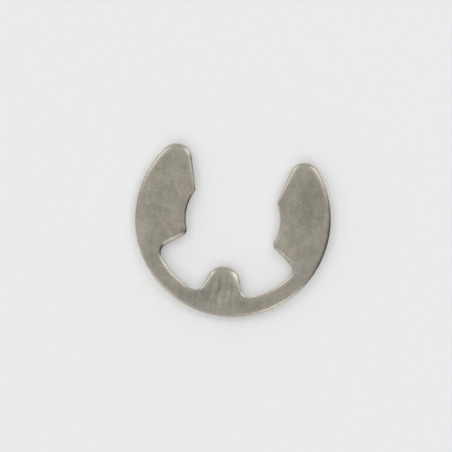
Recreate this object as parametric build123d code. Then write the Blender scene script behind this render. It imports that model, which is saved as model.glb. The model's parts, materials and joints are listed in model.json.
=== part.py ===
"""An e clip: a flat spring-steel retaining ring that is pushed sideways into the 6 mm groove of a shaft.

The clip lies flat. The shaft's axis is Z, the underside is at Z = 0, and the throat opens towards +Y.
It is symmetric about the YZ plane. Lengths are in millimetres and angles in degrees.
"""

from build123d import *
from math import cos, radians, sin, sqrt, tan
import os

# Driving dimensions
thickness = 0.70          # strip that the clip is stamped from
outer_radius = 6.15       # rim and the backs of both arms
seat_radius = 2.95        # part circle that grips the floor of the groove
lip_bite = 0.35           # how far each lip closes the throat, inside the seat's own width
lip_radius = 0.30         # corner between lead-in and seat
flank_angle = 14.8        # lean of each side of the lead-in, from the middle line
tip_radius = 0.97         # round end of each arm
shoulder_turn = 25.8      # where the seat ends, below the X axis
shoulder_slope = 37.0     # fall of the shoulder edge towards the rim
shoulder_radius = 0.38    # corner between seat and shoulder edge
rim_width = 1.09          # thin outer band behind the two pockets
pocket_radius = 0.62      # outer corner of each pocket
prong_radius = 1.06       # round nose of the centre prong
prong_setback = 0.05      # the nose stands this far back from the seat's circle, on the groove's own floor
prong_flank_angle = 15.5  # lean of each side of the prong, from the middle line
prong_root_radius = 0.60  # corner between prong and rim
die_roll = 0.12           # rounding that the punch leaves round the upper face
edge_break = 0.05         # tumbled edge round the underside


def lead_in():
    """The wedge that guides the shaft in. Its sides are tangent to the two round lips that narrow it."""
    lip_x = seat_radius - lip_bite + lip_radius
    lip_y = sqrt((seat_radius + lip_radius) ** 2 - lip_x**2)
    lean = radians(flank_angle)
    foot = lip_x - lip_y * tan(lean) - lip_radius / cos(lean)
    mouth = foot + outer_radius * tan(lean)
    return Polygon((-foot, 0), (foot, 0), (mouth, outer_radius), (-mouth, outer_radius), align=None)


def pockets():
    """The room below both shoulder edges and inside the rim, which the prong then divides in two."""
    turn, slope = radians(shoulder_turn), radians(shoulder_slope)
    top_x, top_y = seat_radius * cos(turn), -seat_radius * sin(turn)
    side_x, side_y = top_x + outer_radius * cos(slope), top_y - outer_radius * sin(slope)
    below = Polygon(
        (-top_x, top_y), (top_x, top_y), (side_x, side_y), (side_x, -outer_radius),
        (-side_x, -outer_radius), (-side_x, side_y), align=None,
    )
    room = below & Circle(outer_radius - rim_width)
    return fillet(room.vertices().group_by(Axis.Y)[0], pocket_radius)


def prong():
    """The centre prong. Its round nose bears on the shaft, and its sides spread down to the rim's middle."""
    lean = radians(prong_flank_angle)
    nose_y = -(seat_radius + prong_setback + prong_radius)
    side_x, side_y = prong_radius * cos(lean), nose_y + prong_radius * sin(lean)
    foot_y = rim_width / 2 - outer_radius
    foot_x = side_x + (side_y - foot_y) * tan(lean)
    sides = Polygon((-side_x, side_y), (-foot_x, foot_y), (foot_x, foot_y), (side_x, side_y), align=None)
    return sides + Pos(0, nose_y) * Circle(prong_radius)


def outline():
    """The stamped outline. The corners that a cut leaves are rounded before the next one is made.

    On a clip with a short prong, the corners at its root take at most nine tenths of its straight side.
    """
    face = Circle(outer_radius) - lead_in()
    face = fillet(face.vertices().group_by(Axis.Y)[-1], tip_radius)
    face -= Circle(seat_radius)
    face = fillet(face.vertices().group_by(Axis.Y)[0], lip_radius)
    face -= pockets()
    shoulders = face.vertices().filter_by(lambda corner: corner.Y < 0).group_by(Axis.Y)[-1]
    face = fillet(shoulders, shoulder_radius)
    face += prong()
    side = face.edges().filter_by(GeomType.LINE).sort_by(Axis.Y)[0]
    return fillet(face.vertices().group_by(Axis.Y)[0], min(prong_root_radius, 0.9 * side.length))


def e_clip():
    """The whole clip, with the punch's rounding round its upper face and a small broken edge underneath."""
    clip = extrude(outline(), thickness)
    clip = fillet(clip.faces().sort_by(Axis.Z)[-1].edges(), die_roll)
    return fillet(clip.faces().sort_by(Axis.Z)[0].edges(), edge_break)


os.makedirs("parts", exist_ok=True)
export_step(e_clip(), "parts/e_clip.step")
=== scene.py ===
"""An e clip as it lies: one flat stamping of spring steel, barrel-tumbled so that its rolled edges shine.

Lengths are written in millimetres and turned to metres by MM. The shaft's axis is Z and the throat opens
towards +Y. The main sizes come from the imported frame, and the rest are those of the clip's outline.
"""

import json
from math import atan2, ceil, cos, exp, pi, radians, sin, sqrt

import bmesh
import bpy
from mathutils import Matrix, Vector


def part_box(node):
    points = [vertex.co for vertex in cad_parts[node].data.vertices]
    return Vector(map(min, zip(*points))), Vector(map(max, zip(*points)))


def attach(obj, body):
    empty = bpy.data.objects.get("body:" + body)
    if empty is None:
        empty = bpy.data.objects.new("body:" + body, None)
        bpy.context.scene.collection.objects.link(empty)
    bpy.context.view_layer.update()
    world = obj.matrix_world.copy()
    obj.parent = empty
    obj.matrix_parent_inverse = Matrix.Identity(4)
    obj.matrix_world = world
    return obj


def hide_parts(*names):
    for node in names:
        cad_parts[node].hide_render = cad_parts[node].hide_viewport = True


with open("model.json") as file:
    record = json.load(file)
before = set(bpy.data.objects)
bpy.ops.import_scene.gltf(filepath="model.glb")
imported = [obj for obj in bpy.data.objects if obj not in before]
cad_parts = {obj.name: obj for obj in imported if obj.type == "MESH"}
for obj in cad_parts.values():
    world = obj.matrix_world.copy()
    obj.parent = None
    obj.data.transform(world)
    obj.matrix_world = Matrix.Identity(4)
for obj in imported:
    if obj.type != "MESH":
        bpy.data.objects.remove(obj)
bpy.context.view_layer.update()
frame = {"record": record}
MM = 0.001

# Sizes of the blank, in millimetres and degrees
low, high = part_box("e_clip")
seat_mount = next(m for m in frame["record"]["mounts"] if m["name"] == "shaft_seat")
OUTER_RADIUS = -low[1] / MM
THICKNESS = high[2] / MM
SEAT_RADIUS = seat_mount["dims"]["r_mm"]
LIP_BITE = 0.35
LIP_RADIUS = 0.30
FLANK_ANGLE = 14.8
TIP_RADIUS = 0.97
SHOULDER_TURN = 25.8
SHOULDER_SLOPE = 37.0
SHOULDER_RADIUS = 0.38
RIM_INNER_RADIUS = OUTER_RADIUS - 1.09
POCKET_RADIUS = 0.62
PRONG_RADIUS = 1.06
PRONG_SETBACK = 0.05
PRONG_FLANK_ANGLE = 15.5
PRONG_ROOT_RADIUS = 0.60
OUTLINE_STEP = 0.07        # longest step between points of the outline
OUTLINE_TURN = radians(7)  # and the most that it turns in one step

# The cut edge, from the face down: the punch's roll, a straight sheared band, and a torn band that leans in.
# Each roll has a width, from the cut wall to where the face is level, and a depth.
NOSE_ROLL = Vector((0.76, 0.23))
PRONG_SIDE_ROLL = Vector((0.55, 0.17))
HOLLOW_ROLL = Vector((0.26, 0.07))
INNER_ROLL = Vector((0.36, 0.10))
SHOULDER_LINE_ROLL = Vector((0.46, 0.25))
SHOULDER_ROLL = Vector((0.27, 0.15))
SEAT_ROLL = Vector((0.34, 0.11))
LIP_ROLL = Vector((0.18, 0.07))
TIP_ROLL = Vector((0.60, 0.18))
OUTER_ROLL = Vector((0.48, 0.14))
ROLL_BLEND = 0.16          # how far one roll runs over into the next, along the edge
ROLL_ROWS = 12
TORN_HEIGHT = 0.30         # where tearing starts, above the underside
TORN_LEAN = 0.025
EDGE_BREAK = 0.04
BREAK_ROWS = 4
BREAK_WALL_FADE = 4        # how sharply the look of cut wall ends at the edge break
ROLL_WALL_FADE = 16        # and, more sharply, at the roll
FACE_MARGIN = 0.03         # level strip inside each rounding, which keeps the face's shading flat


def toward(angle):
    return Vector((cos(angle), sin(angle)))


def angle_of(v):
    return atan2(v.y, v.x)


def rounding_centre(inward, offset, ring, radius, side, in_metal, in_ring):
    """The centre of the arc between a straight edge and a circle round the shaft.

    The straight edge is where inward . p = offset. The arc's centre is in the metal on an outward corner.
    side says which of the two places along the edge is meant.
    """
    off_edge = offset + (radius if in_metal else -radius)
    off_axis = ring + (-radius if in_ring else radius)
    along = Vector((-inward.y, inward.x)) * side
    return inward * off_edge + along * sqrt(off_axis**2 - off_edge**2)


def arc(centre, radius, start, end, bulge, first_roll, last_roll):
    """Points along an arc, each with the direction out of the metal and the roll there.

    bulge is 1 on an outward arc and -1 in a hollow.
    """
    sweep = (end - start + pi) % (2 * pi) - pi
    count = ceil(abs(sweep) * max(radius / OUTLINE_STEP, 1 / OUTLINE_TURN))
    points = []
    for i in range(count + 1):
        spoke = toward(start + sweep * i / count)
        points.append((centre + spoke * radius, spoke * bulge, first_roll.lerp(last_roll, i / count)))
    return points


def right_half():
    """The outline from the prong's nose, by pocket, shoulder, seat, lip and tip, to the middle of the rim."""
    axis = Vector((0, 0))
    nose = Vector((0, -SEAT_RADIUS - PRONG_SETBACK - PRONG_RADIUS))
    prong_out = toward(radians(PRONG_FLANK_ANGLE))
    shoulder_out = toward(-pi / 2 - radians(SHOULDER_SLOPE))
    flank_out = toward(pi - radians(FLANK_ANGLE))
    prong_edge = -prong_out.dot(nose) - PRONG_RADIUS
    shoulder_edge = -shoulder_out.dot(toward(-radians(SHOULDER_TURN)) * SEAT_RADIUS)

    lip_x = SEAT_RADIUS - LIP_BITE + LIP_RADIUS
    lip = Vector((lip_x, sqrt((SEAT_RADIUS + LIP_RADIUS) ** 2 - lip_x**2)))
    flank_edge = -flank_out.dot(lip) - LIP_RADIUS
    tip = rounding_centre(-flank_out, flank_edge, OUTER_RADIUS, TIP_RADIUS, 1, True, True)
    shoulder = rounding_centre(-shoulder_out, shoulder_edge, SEAT_RADIUS, SHOULDER_RADIUS, -1, True, False)
    pocket = rounding_centre(-shoulder_out, shoulder_edge, RIM_INNER_RADIUS, POCKET_RADIUS, -1, False, True)
    root = rounding_centre(-prong_out, prong_edge, RIM_INNER_RADIUS, PRONG_ROOT_RADIUS, 1, False, True)

    arcs = [
        arc(nose, PRONG_RADIUS, pi / 2, angle_of(prong_out), 1, NOSE_ROLL, PRONG_SIDE_ROLL),
        arc(root, PRONG_ROOT_RADIUS, angle_of(-prong_out), angle_of(root), -1, HOLLOW_ROLL, HOLLOW_ROLL),
        arc(axis, RIM_INNER_RADIUS, angle_of(root), angle_of(pocket), -1, INNER_ROLL, INNER_ROLL),
        arc(pocket, POCKET_RADIUS, angle_of(pocket), angle_of(-shoulder_out), -1,
            HOLLOW_ROLL, SHOULDER_LINE_ROLL),
        arc(shoulder, SHOULDER_RADIUS, angle_of(shoulder_out), angle_of(-shoulder), 1,
            SHOULDER_ROLL, SHOULDER_ROLL),
        arc(axis, SEAT_RADIUS, angle_of(shoulder), angle_of(lip), -1, SEAT_ROLL, SEAT_ROLL),
        arc(lip, LIP_RADIUS, angle_of(-lip), angle_of(flank_out), 1, LIP_ROLL, LIP_ROLL),
        arc(tip, TIP_RADIUS, angle_of(flank_out), angle_of(tip), 1, TIP_ROLL, TIP_ROLL),
        arc(axis, OUTER_RADIUS, angle_of(tip), -pi / 2, 1, OUTER_ROLL, OUTER_ROLL),
    ]
    points = arcs[0]
    for following in arcs[1:]:
        (end, out, roll), (begin, _, next_roll) = points[-1], following[0]
        count = int((begin - end).length / OUTLINE_STEP)
        for i in range(1, count + 1):
            share = i / (count + 1)
            points.append((end.lerp(begin, share), out, roll.lerp(next_roll, share)))
        points += following if count else following[1:]
    return points


def outline():
    """The whole closed outline: places, the way out of the metal at each, and how the edge rolls there."""
    right = right_half()
    left = [(Vector((-p.x, p.y)), Vector((-out.x, out.y)), roll) for p, out, roll in reversed(right[1:-1])]
    loop = right + left
    along = [0]
    for (p, _, _), (q, _, _) in zip(loop, loop[1:] + loop[:1]):
        along.append(along[-1] + (q - p).length)
    around = along.pop()
    blended = []
    for here, (p, out, _) in zip(along, loop):
        total = Vector((0, 0))
        felt = 0
        for there, (_, _, roll) in zip(along, loop):
            apart = abs(there - here)
            weight = exp(-0.5 * (min(apart, around - apart) / ROLL_BLEND) ** 2)
            total += weight * roll
            felt += weight
        blended.append((p, out, total / felt))
    return blended


def section(width, depth):
    """The cut edge from the underside up to the face, under a roll of this width and depth.

    Each row is its inset from the outline, its height, how burnished it is, and how far it is cut wall.
    """
    rows = [(TORN_LEAN + EDGE_BREAK + FACE_MARGIN, 0, 0, 0)]
    for i in range(BREAK_ROWS + 1):
        t = i / BREAK_ROWS * pi / 2
        inset = TORN_LEAN + EDGE_BREAK * (1 - sin(t))
        rows.append((inset, EDGE_BREAK * (1 - cos(t)), 1 - cos(t), sin(t) ** BREAK_WALL_FADE))
    rows.append((0, TORN_HEIGHT, 1, 1))
    for i in range(ROLL_ROWS + 1):
        t = (1 - i / ROLL_ROWS) * pi / 2
        drop = depth * (1 - cos(t))
        rows.append((width * (1 - sin(t)), THICKNESS - drop, sin(t), sin(t) ** ROLL_WALL_FADE))
    rows.append((width + FACE_MARGIN, THICKNESS, 0, 0))
    return rows


def e_clip_mesh():
    """The clip as one closed mesh: the edge's section swept round the outline, and a face on each side."""
    bm = bmesh.new()
    burnish = bm.verts.layers.float.new("burnish")
    wall = bm.verts.layers.float.new("wall")
    posts = []
    for place, out, roll in outline():
        post = []
        for inset, height, burnished, cut in section(roll.x, roll.y):
            flat = (place - out * inset) * MM
            v = bm.verts.new((flat.x, flat.y, height * MM))
            v[burnish], v[wall] = burnished, cut
            post.append(v)
        posts.append(post)
    for post, following in zip(posts, posts[1:] + posts[:1]):
        for i in range(len(post) - 1):
            bm.faces.new((post[i], post[i + 1], following[i + 1], following[i]))
    bm.faces.new([post[0] for post in posts])
    bm.faces.new([post[-1] for post in reversed(posts)])
    bmesh.ops.recalc_face_normals(bm, faces=bm.faces)
    for face in bm.faces:
        face.smooth = True
    mesh = bpy.data.meshes.new("e_clip_stamping")
    bm.to_mesh(mesh)
    bm.free()
    return mesh


def linear(colour):
    """A colour written as sRGB hex, as the linear values that a shader takes."""
    parts = [int(colour[i:i + 2], 16) / 255 for i in (1, 3, 5)]
    return [c / 12.92 if c <= 0.04045 else ((c + 0.055) / 1.055) ** 2.4 for c in parts] + [1]


def add(tree, kind, settings, links):
    """Adds a node. links gives its inputs, each as a plain value or as another node's output."""
    node = tree.nodes.new(kind)
    for name, value in settings.items():
        setattr(node, name, value)
    for name, value in links.items():
        if isinstance(value, bpy.types.NodeSocket):
            tree.links.new(value, node.inputs[name])
        else:
            node.inputs[name].default_value = value
    return node


def new_material(name):
    material = bpy.data.materials.new(name)
    material.use_nodes = True
    material.node_tree.nodes.clear()
    return material, material.node_tree


# Patterns of the steel, in millimetres across
CLOUD_SIZE = 1.5
TINT_SIZE = 1.1
MOTTLING_SIZE = 0.5
GRAIN_SIZE = 0.14                           # the real grain is finer, and too fine to show
DENT_SIZE = 0.2                             # dents that the chips leave
MARK_SPACING = 0.16                         # the strip's rolling marks, which run along Y
MARK_LEAN = radians(8)                      # and lean a little
MARK_STRETCH = 9                            # how many times as long they are as wide
MARKS_MIDDLE = (0, -4.6)                    # they are clearest at the prong
MARKS_REACH = (0.6, 2.0)                    # and fade from there between these two distances
SCORE_SPACING = 0.07                        # upright scores of the sheared wall
SCORE_STRETCH = 30                          # how many times as tall they are as wide
CRYSTAL_SIZE = 0.05                         # broken crystals of the torn wall
WAVER_SIZE = 0.3                            # waves along the top of the torn wall
TORN_WAVER = 0.16                           # how far they reach up and down
TORN_FADE = 0.04                            # over what height the torn wall gives way to the sheared one

# Patches that darken and lighten the colour, a few of them painted highlights and painted shade:
# # the middle, reach along X and Y, and the tone at the middle
PATCHES_AND_PAINTED_LIGHT = [
    ((4.75, 1.40), (1.25, 2.60), 0.82),     # darker over the middle of the right arm
    ((3.30, -0.60), (0.60, 1.30), 1.13),    # lighter on the inner side of the same arm
    ((-0.10, -4.45), (0.70, 0.90), 0.91),   # the prong's middle
    ((-1.75, -5.10), (1.50, 0.80), 0.83),   # the rim, left of the prong
    ((1.60, -5.20), (1.60, 0.70), 0.88),    # and right of it
    ((-5.55, -1.90), (0.90, 1.90), 1.12),   # lighter low on the left arm
    ((-4.30, 0.60), (1.30, 1.10), 0.98),    # darker above it
    ((-4.15, 3.05), (1.30, 1.50), 1.09),    # lighter at the left tip
    ((3.95, 3.40), (0.90, 1.20), 1.04),     # and the right one, less
    ((-5.50, 0.80), (0.90, 2.20), 1.05),    # and the back of the left arm
    ((0.68, -3.60), (0.42, 0.56), 1.35),    # a painted highlight on the right of the nose, where it glints
    ((-0.80, -3.62), (0.28, 0.40), 1.15),   # and a smaller painted highlight on the left
    ((-2.95, -1.20), (0.36, 0.40), 0.66),   # painted shade at the left shoulder's corner
    ((-0.14, -4.42), (0.13, 0.50), 0.86),   # a dark rolling mark on the prong
    ((-3.50, -1.78), (0.42, 0.20), 1.25),   # a painted highlight along the left shoulder's edge
    ((3.40, -1.72), (0.42, 0.24), 1.18),    # and along the right one's
    ((3.96, 1.49), (0.10, 0.10), 0.72),     # a pit
]
SPECK_PLACE = (3.65, -1.70)                 # a speck of rust
SPECK_REACH = 0.08
SPECK_CORE = 0.3                            # share of its reach that is wholly rust

# Settings and links that several nodes share
SMOOTH = {"interpolation_type": "SMOOTHSTEP"}
MULTIPLY = {"operation": "MULTIPLY"}
MULTIPLY_ADD = {"operation": "MULTIPLY_ADD"}
SCALE = {"operation": "SCALE"}
DISTANCE = {"operation": "DISTANCE"}
NUMBERS = {"data_type": "FLOAT"}
COLOURS = {"data_type": "RGBA"}
NOISE_SPAN = {1: 0.3, 2: 0.7}               # nearly all values of a noise lie between these two
TINT_SPAN = {1: 0.35, 2: 0.65}              # a narrower span, which parts the two tints more clearly


def tumbled_spring_steel():
    """Carbon spring steel: blanked from strip, hardened, and tumbled in a barrel of stone chips.

    The chips leave the face satin, softly clouded and finely dimpled, and polish the rolled edges, which
    glint. Hardening leaves the faintest straw and olive tints, and the strip's own rolling marks still show
    at the prong. The cut wall is bright and scored upright where it was sheared, and dull and grainy where
    it tore. Patches also darken and lighten the colour, and a few of them are painted highlights and painted
    shade on the nose and at the shoulders.
    """
    material, tree = new_material("tumbled_spring_steel")
    place = add(tree, "ShaderNodeTexCoord", {}, {}).outputs["Object"]
    height = add(tree, "ShaderNodeSeparateXYZ", {}, {0: place}).outputs["Z"]
    burnish = add(tree, "ShaderNodeAttribute", {"attribute_name": "burnish"}, {}).outputs["Fac"]
    wall = add(tree, "ShaderNodeAttribute", {"attribute_name": "wall"}, {}).outputs["Fac"]

    def blotches(size, detail, stretch=(1, 1, 1), turn=0):
        """A pattern of blotches about size millimetres across, times stretch along each axis."""
        scale = [1 / (size * MM * s) for s in stretch]
        spread = add(tree, "ShaderNodeMapping", {}, {
            "Vector": place, "Rotation": (0, 0, turn), "Scale": scale}).outputs[0]
        return add(tree, "ShaderNodeTexNoise", {}, {
            "Vector": spread, "Scale": 1.0, "Detail": detail}).outputs["Fac"]

    def toned(base, pattern, lowest, highest):
        """A colour made darker and lighter by a pattern, between two tones."""
        tone = add(tree, "ShaderNodeMapRange", SMOOTH, {
            "Value": pattern, **NOISE_SPAN, 3: lowest, 4: highest}).outputs[0]
        return add(tree, "ShaderNodeVectorMath", SCALE, {0: base, "Scale": tone}).outputs[0]

    def two_toned(pattern, first, second):
        """Two colours, blended as a pattern says."""
        share = add(tree, "ShaderNodeMapRange", SMOOTH, {
            "Value": pattern, **NOISE_SPAN, 3: 0, 4: 1}).outputs[0]
        return add(tree, "ShaderNodeMix", COLOURS, {
            0: share, 6: linear(first), 7: linear(second)}).outputs[2]

    # Face: two tints, then mottling, grain and clouds
    mottling = blotches(MOTTLING_SIZE, 2.0)
    grain = blotches(GRAIN_SIZE, 2.0)
    tinted = add(tree, "ShaderNodeMapRange", SMOOTH, {
        "Value": blotches(TINT_SIZE, 1.0, turn=1.0), **TINT_SPAN, 3: 0, 4: 1}).outputs[0]
    colour = add(tree, "ShaderNodeMix", COLOURS, {
        0: tinted, 6: linear("#9D978C"), 7: linear("#98958A")}).outputs[2]
    colour = toned(colour, mottling, 0.92, 1.08)
    colour = toned(colour, grain, 0.93, 1.07)
    colour = toned(colour, blotches(CLOUD_SIZE, 2.0), 0.95, 1.05)

    # The strip's rolling marks
    marks = blotches(MARK_SPACING, 1.0, stretch=(1, MARK_STRETCH, MARK_STRETCH), turn=MARK_LEAN)
    from_marks = add(tree, "ShaderNodeVectorMath", DISTANCE, {
        0: place, 1: (MARKS_MIDDLE[0] * MM, MARKS_MIDDLE[1] * MM, THICKNESS * MM)}).outputs["Value"]
    marked = add(tree, "ShaderNodeMapRange", SMOOTH, {
        "Value": from_marks, 1: MARKS_REACH[0] * MM, 2: MARKS_REACH[1] * MM, 3: 1, 4: 0.2}).outputs[0]
    mark_tone = add(tree, "ShaderNodeMapRange", SMOOTH, {
        "Value": marks, **NOISE_SPAN, 3: 0.83, 4: 1.1}).outputs[0]
    mark_tone = add(tree, "ShaderNodeMix", NUMBERS, {0: marked, 2: 1.0, 3: mark_tone}).outputs[0]
    colour = add(tree, "ShaderNodeVectorMath", SCALE, {0: colour, "Scale": mark_tone}).outputs[0]

    # The speck of rust
    from_speck = add(tree, "ShaderNodeVectorMath", DISTANCE, {
        0: place, 1: (SPECK_PLACE[0] * MM, SPECK_PLACE[1] * MM, THICKNESS * MM)}).outputs["Value"]
    rusty = add(tree, "ShaderNodeMapRange", SMOOTH, {
        "Value": from_speck, 1: SPECK_CORE * SPECK_REACH * MM, 2: SPECK_REACH * MM, 3: 1, 4: 0}).outputs[0]
    colour = add(tree, "ShaderNodeMix", COLOURS, {0: rusty, 6: colour, 7: linear("#857668")}).outputs[2]

    # Edge: polished where it rolls over. The patches, painted highlights and painted shade among them,
    # # run on over it, but not down the wall.
    edge_colour = two_toned(grain, "#9E988D", "#A8A297")
    colour = add(tree, "ShaderNodeMix", COLOURS, {0: burnish, 6: colour, 7: edge_colour}).outputs[2]
    # Each patch scales the colour; some are painted highlights and painted shade, not marks of the steel.
    for (x, y), (reach_x, reach_y), middle_tone in PATCHES_AND_PAINTED_LIGHT:
        offset = add(tree, "ShaderNodeVectorMath", MULTIPLY_ADD, {
            0: place, 1: (1 / (reach_x * MM), 1 / (reach_y * MM), 0),
            2: (-x / reach_x, -y / reach_y, 0)}).outputs[0]
        away = add(tree, "ShaderNodeVectorMath", {"operation": "LENGTH"}, {0: offset}).outputs["Value"]
        tone = add(tree, "ShaderNodeMapRange", SMOOTH, {
            "Value": away, 1: 0, 2: 1, 3: middle_tone, 4: 1}).outputs[0]
        colour = add(tree, "ShaderNodeVectorMath", SCALE, {0: colour, "Scale": tone}).outputs[0]

    # Wall: sheared and scored above, torn and grainy below
    scores = blotches(SCORE_SPACING, 1.0, stretch=(1, 1, SCORE_STRETCH))
    crystals = blotches(CRYSTAL_SIZE, 3.0)
    wavering = add(tree, "ShaderNodeMath", MULTIPLY_ADD, {
        0: blotches(WAVER_SIZE, 2.0), 1: TORN_WAVER * MM, 2: height}).outputs[0]
    torn_top = TORN_HEIGHT + TORN_WAVER / 2
    below = add(tree, "ShaderNodeMapRange", SMOOTH, {
        "Value": wavering, 1: (torn_top - TORN_FADE / 2) * MM, 2: (torn_top + TORN_FADE / 2) * MM,
        3: 1, 4: 0}).outputs[0]
    torn = add(tree, "ShaderNodeMath", MULTIPLY, {0: wall, 1: below}).outputs[0]
    for where, wall_colour in ((wall, two_toned(scores, "#D0CCC4", "#DEDAD3")),
                               (torn, two_toned(crystals, "#BAB6AE", "#D6D2CB"))):
        colour = add(tree, "ShaderNodeMix", COLOURS, {0: where, 6: colour, 7: wall_colour}).outputs[2]

    # Satin where the chips wore it, glossier where it rolls over, and dull where it tore
    roughness = add(tree, "ShaderNodeMapRange", SMOOTH, {
        "Value": mottling, **NOISE_SPAN, 3: 0.36, 4: 0.46}).outputs[0]
    for where, other in ((burnish, 0.24), (torn, 0.5)):
        roughness = add(tree, "ShaderNodeMix", NUMBERS, {0: where, 2: roughness, 3: other}).outputs[0]

    # Relief: dents, grain, scores and crystals, each with its full depth in millimetres
    scored = add(tree, "ShaderNodeMath", MULTIPLY, {0: wall, 1: scores}).outputs[0]
    crumbled = add(tree, "ShaderNodeMath", MULTIPLY, {0: torn, 1: crystals}).outputs[0]
    dents = blotches(DENT_SIZE, 1.0)
    normal = {}
    for relief, depth in ((dents, 0.004), (grain, 0.002), (scored, 0.008), (crumbled, 0.02)):
        bump = add(tree, "ShaderNodeBump", {}, {"Height": relief, "Distance": depth * MM, **normal})
        normal = {"Normal": bump.outputs[0]}

    steel = add(tree, "ShaderNodeBsdfPrincipled", {}, {
        "Base Color": colour, "Metallic": 1.0, "Roughness": roughness, **normal})
    add(tree, "ShaderNodeOutputMaterial", {}, {"Surface": steel.outputs["BSDF"]})
    return material


FIBRE_SIZE = 0.5           # the board's fibre, in millimetres


def pale_board():
    """Matt white-grey display board: nearly one even tone, with the faintest fibre."""
    material, tree = new_material("pale_board")
    place = add(tree, "ShaderNodeTexCoord", {}, {}).outputs["Object"]
    fibre = add(tree, "ShaderNodeTexNoise", {}, {
        "Vector": place, "Scale": 1 / (FIBRE_SIZE * MM), "Detail": 3.0})
    shade = add(tree, "ShaderNodeMix", COLOURS, {
        0: fibre.outputs["Fac"], 6: linear("#EBECEC"), 7: linear("#EEEFEF")})
    board = add(tree, "ShaderNodeBsdfPrincipled", {}, {
        "Base Color": shade.outputs[2], "Roughness": 0.9, "Specular IOR Level": 0.2})
    add(tree, "ShaderNodeOutputMaterial", {}, {"Surface": board.outputs["BSDF"]})
    return material


clip = bpy.data.objects.new("e_clip_stamping", e_clip_mesh())
bpy.context.collection.objects.link(clip)
clip.data.materials.append(tumbled_spring_steel())
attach(clip, "root")
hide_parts("e_clip")

# The floor, a hair under the clip so that the two never share a plane
FLOOR_SIZE = 900
FLOOR_GAP = 0.002
bm = bmesh.new()
bmesh.ops.create_grid(bm, x_segments=1, y_segments=1, size=FLOOR_SIZE / 2 * MM)
floor_mesh = bpy.data.meshes.new("board")
bm.to_mesh(floor_mesh)
bm.free()
floor = bpy.data.objects.new("board", floor_mesh)
floor.location.z = -FLOOR_GAP * MM
bpy.context.collection.objects.link(floor)
floor.data.materials.append(pale_board())

# The camera looks straight down, turned so that the throat opens up and a little to the right.
VIEW_TURN = radians(8.70)
VIEW_WIDTH = 28.315
VIEW_CENTRE = Vector((-0.363, -0.493))
CAMERA_HEIGHT = 240
camera = bpy.data.objects.new("camera", bpy.data.cameras.new("camera"))
bpy.context.collection.objects.link(camera)
camera.location = (VIEW_CENTRE.x * MM, VIEW_CENTRE.y * MM, (THICKNESS + CAMERA_HEIGHT) * MM)
camera.rotation_euler = (0, 0, VIEW_TURN)
camera.data.lens = camera.data.sensor_width * CAMERA_HEIGHT / VIEW_WIDTH
camera.data.clip_start = 10 * MM
camera.data.clip_end = 5000 * MM
bpy.context.scene.camera = camera


def way_to(azimuth, elevation):
    """A direction in the studio, with the azimuth as the camera sees it: 0 to the right and 90 up."""
    turn = radians(azimuth) + VIEW_TURN
    rise = radians(elevation)
    return Vector((cos(turn) * cos(rise), sin(turn) * cos(rise), sin(rise)))


def softbox(name, azimuth, elevation, radius, radiance):
    """A round soft lamp, LAMP_DISTANCE from the clip and facing it, that shines with this radiance."""
    lamp = bpy.data.lights.new(name, "AREA")
    lamp.shape = "DISK"
    lamp.size = 2 * radius * MM
    lamp.energy = radiance * pi * pi * (radius * MM) ** 2
    ob = bpy.data.objects.new(name, lamp)
    bpy.context.collection.objects.link(ob)
    way = way_to(azimuth, elevation)
    ob.location = way * LAMP_DISTANCE * MM
    ob.rotation_mode = "QUATERNION"
    ob.rotation_quaternion = way.to_track_quat("Z", "Y")
    ob.visible_camera = False


LAMP_DISTANCE = 400
softbox("softbox_upper_right", 36, 53, 90, 1.9)
softbox("softbox_upper_left", 136, 50, 85, 1.7)
softbox("softbox_lower_right", -62, 48, 72, 2.0)
softbox("softbox_lower_left", -134, 44, 68, 1.2)

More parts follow.
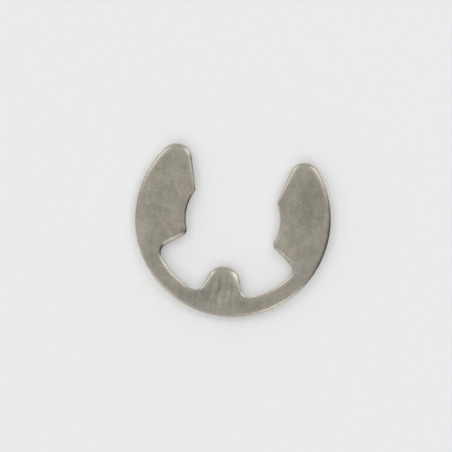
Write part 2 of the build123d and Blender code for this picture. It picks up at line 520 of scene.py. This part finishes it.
# A white tent of light, a little brighter low down. It is open on the right, which darkens the edges that
# face that way.
TENT_LEVEL = 0.84
HORIZON_LEVEL = 1.1
HORIZON_REACH = (28, 8)    # degrees above the board, where that brightening begins and where it is whole
OPENING_AZIMUTH = -16
OPENING_REACH = (36, 18)   # degrees to each side, where the dark begins and where it is deepest
OPENING_TOP = (82, 48)     # and the same upwards
OPENING_LEVEL = 0.15
world = bpy.data.worlds.new("studio")
bpy.context.scene.world = world
world.use_nodes = True
studio = world.node_tree
studio.nodes.clear()
horizon_start, horizon_whole = (sin(radians(angle)) for angle in HORIZON_REACH)
side_start, side_whole = (cos(radians(angle)) for angle in OPENING_REACH)
top_start, top_whole = (sin(radians(angle)) for angle in OPENING_TOP)

sky = add(studio, "ShaderNodeTexCoord", {}, {}).outputs["Generated"]
rise = add(studio, "ShaderNodeSeparateXYZ", {}, {0: sky}).outputs["Z"]
tent = add(studio, "ShaderNodeMapRange", SMOOTH, {
    "Value": rise, 1: horizon_start, 2: horizon_whole, 3: TENT_LEVEL, 4: HORIZON_LEVEL}).outputs[0]
level_way = add(studio, "ShaderNodeVectorMath", MULTIPLY, {0: sky, 1: (1, 1, 0)}).outputs[0]
level_way = add(studio, "ShaderNodeVectorMath", {"operation": "NORMALIZE"}, {0: level_way}).outputs[0]
facing = add(studio, "ShaderNodeVectorMath", {"operation": "DOT_PRODUCT"}, {
    0: level_way, 1: way_to(OPENING_AZIMUTH, 0)}).outputs["Value"]
across = add(studio, "ShaderNodeMapRange", SMOOTH, {
    "Value": facing, 1: side_start, 2: side_whole, 3: 0, 4: 1}).outputs[0]
below_top = add(studio, "ShaderNodeMapRange", SMOOTH, {
    "Value": rise, 1: top_start, 2: top_whole, 3: 0, 4: 1}).outputs[0]
opening = add(studio, "ShaderNodeMath", MULTIPLY, {0: across, 1: below_top}).outputs[0]
tent = add(studio, "ShaderNodeMix", NUMBERS, {0: opening, 2: tent, 3: OPENING_LEVEL}).outputs[0]

# The camera sees plain white behind everything
seen = add(studio, "ShaderNodeLightPath", {}, {}).outputs["Is Camera Ray"]
level = add(studio, "ShaderNodeMix", NUMBERS, {0: seen, 2: tent, 3: 1.0}).outputs[0]
back = add(studio, "ShaderNodeBackground", {}, {"Color": (1, 1, 1, 1), "Strength": level})
add(studio, "ShaderNodeOutputWorld", {}, {"Surface": back.outputs[0]})

bpy.context.scene.view_settings.view_transform = "Standard"
